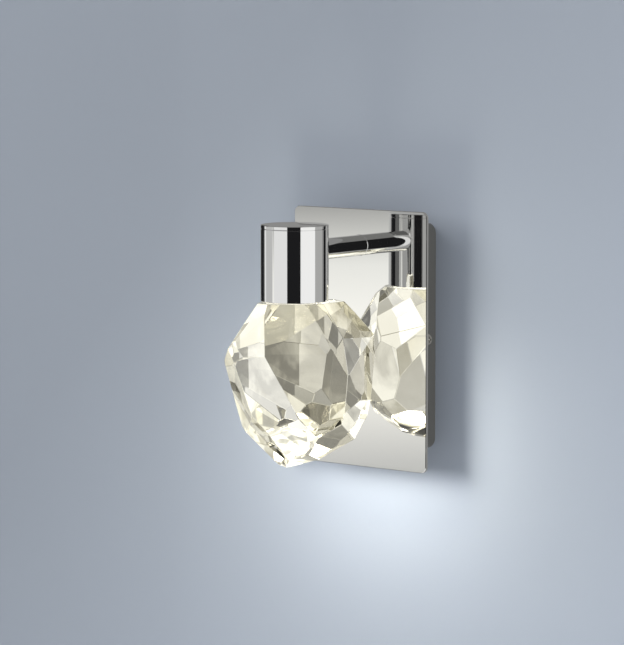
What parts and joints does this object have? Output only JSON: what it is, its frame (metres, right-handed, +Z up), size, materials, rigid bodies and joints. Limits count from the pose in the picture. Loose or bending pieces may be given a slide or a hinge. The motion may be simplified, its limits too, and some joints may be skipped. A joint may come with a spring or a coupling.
{
  "type": "wall sconce",
  "caption": "Wall sconce: a mirror-polished upright plate on a shallow box, a short straight arm, a round lamp head and a large faceted clear crystal under it.",
  "frame": {"origin": "centre of the wall screw slots and of the wall box's back, on the wall plane", "axes": "+Z up, +Y into the wall (the lamp stands out towards -Y), +X to the right of someone facing the lamp"},
  "size_m": [0.08, 0.0936, 0.125],
  "materials": {
    "polished_chrome": "mirror polished",
    "satin_grey": "satin",
    "zinc_steel": "zinc plated",
    "screw_steel": "nickel plated",
    "crystal_glass": "polished, faceted",
    "black_rubber": "matte",
    "grey_rubber": "matte",
    "nylon": "natural",
    "heat_sink_metal": "plain",
    "white_board": "white solder mask",
    "emitter": "phosphor",
    "frosted_lens": "frosted",
    "clear_adhesive": "clear",
    "white_housing": "moulded",
    "green_board": "solder mask",
    "brass": "plain",
    "red_insulation": "insulation",
    "black_insulation": "insulation",
    "brown_insulation": "insulation",
    "blue_insulation": "insulation",
    "green_insulation": "insulation"
  },
  "bodies": {
    "root": {"wall_bracket": "zinc_steel", "cable_grommet": "black_rubber", "wall_box": "satin_grey", "side_screws": "screw_steel", "mirror_plate": "polished_chrome", "plate_studs": "zinc_steel", "stud_washers": "zinc_steel", "stud_nuts": "zinc_steel", "arm_tube": "polished_chrome", "draw_rod": "zinc_steel", "rod_bushes": "nylon", "rod_lock_washer": "zinc_steel", "rod_nut": "zinc_steel", "saddle_washer": "zinc_steel", "head_nut": "zinc_steel", "head_sleeve": "polished_chrome", "head_cap": "polished_chrome", "heat_sink": "heat_sink_metal", "thermal_pad": "grey_rubber", "led_board": "white_board", "led_emitter": "emitter", "board_screws": "screw_steel", "crystal_collar": "zinc_steel", "diffuser": "frosted_lens", "crystal_bond": "clear_adhesive", "crystal": "crystal_glass", "driver_tape": "grey_rubber", "driver_case": "white_housing", "driver_lid": "white_housing", "driver_board": "green_board", "terminal_block": "white_housing", "terminal_screws": "brass", "fixing_screw": "screw_steel", "earth_tag": "brass", "earth_screw": "screw_steel", "lead_positive": "red_insulation", "lead_negative": "black_insulation", "lead_live": "brown_insulation", "lead_neutral": "blue_insulation", "lead_earth": "green_insulation"}
  },
  "joints": []
}
